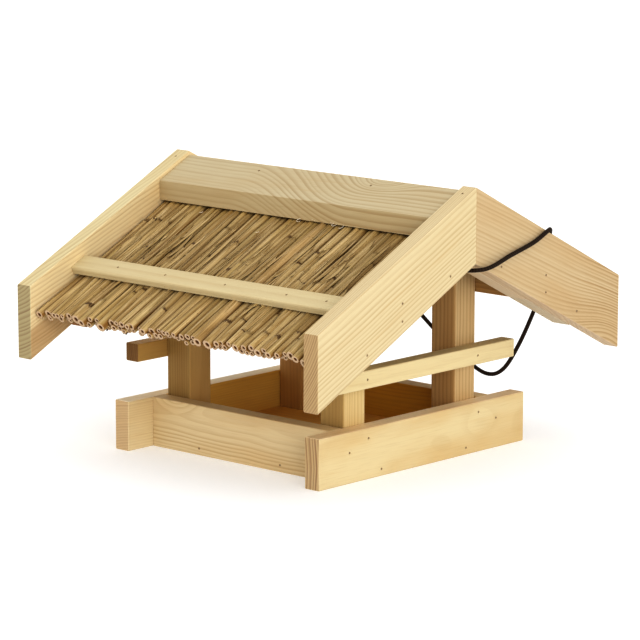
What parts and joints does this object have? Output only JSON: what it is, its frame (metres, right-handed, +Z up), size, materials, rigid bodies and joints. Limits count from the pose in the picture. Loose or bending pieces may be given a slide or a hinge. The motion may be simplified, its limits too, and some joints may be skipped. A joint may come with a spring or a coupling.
{
  "type": "hanging birdhouse",
  "caption": "Open bird feeder house: a pine tray on posts with perch rails, a gable roof of reeds, and a black cord to hang it by.",
  "frame": {"origin": "under the middle of the tray, on the surface that it stands on, below the middle of the ridge", "axes": "+Z up; X along the ridge, +X the gable end on the picture's right; -Y the front roof slope, +Y the back slope"},
  "size_m": [0.4126, 0.444, 0.278],
  "materials": {
    "pine": "planed, unfinished",
    "gable_board": "planed, unfinished, straight grain",
    "cross_board": "planed, darker heartwood",
    "top_lath": "planed, rounded upper edges",
    "reed": "dry reed stalks, satin",
    "nail_steel": "plain wire, dulled",
    "cord": "black braided synthetic cord"
  },
  "bodies": {
    "root": {"tray_floor": "pine", "tray_side_left": "pine", "tray_side_right": "pine", "tray_front": "pine", "tray_back": "pine", "post_front_left": "pine", "post_front_right": "pine", "post_back_left": "pine", "post_back_right": "pine", "perch_rail_left": "pine", "perch_rail_right": "pine", "cross_board_front": "cross_board", "cross_board_back": "cross_board", "gable_board_front_left": "gable_board", "gable_board_front_right": "gable_board", "gable_board_back_left": "gable_board", "gable_board_back_right": "gable_board", "upper_ledger_front_left": "pine", "upper_ledger_front_right": "pine", "upper_ledger_back_left": "pine", "upper_ledger_back_right": "pine", "lower_ledger_front_left": "pine", "lower_ledger_front_right": "pine", "lower_ledger_back_left": "pine", "lower_ledger_back_right": "pine", "ridge_beam": "pine", "ridge_board_front": "pine", "ridge_board_back": "pine", "under_lath_front": "pine", "under_lath_back": "pine", "top_lath_front": "top_lath", "top_lath_back": "top_lath", "under_reeds_front": "reed", "under_reeds_back": "reed", "top_reeds_front": "reed", "top_reeds_back": "reed", "tray_nails": "nail_steel", "perch_nails": "nail_steel", "post_nails": "nail_steel", "gable_nails": "nail_steel", "ridge_nails": "nail_steel", "lath_nails": "nail_steel", "hanging_cord": "cord", "cord_knot": "cord"}
  },
  "joints": []
}
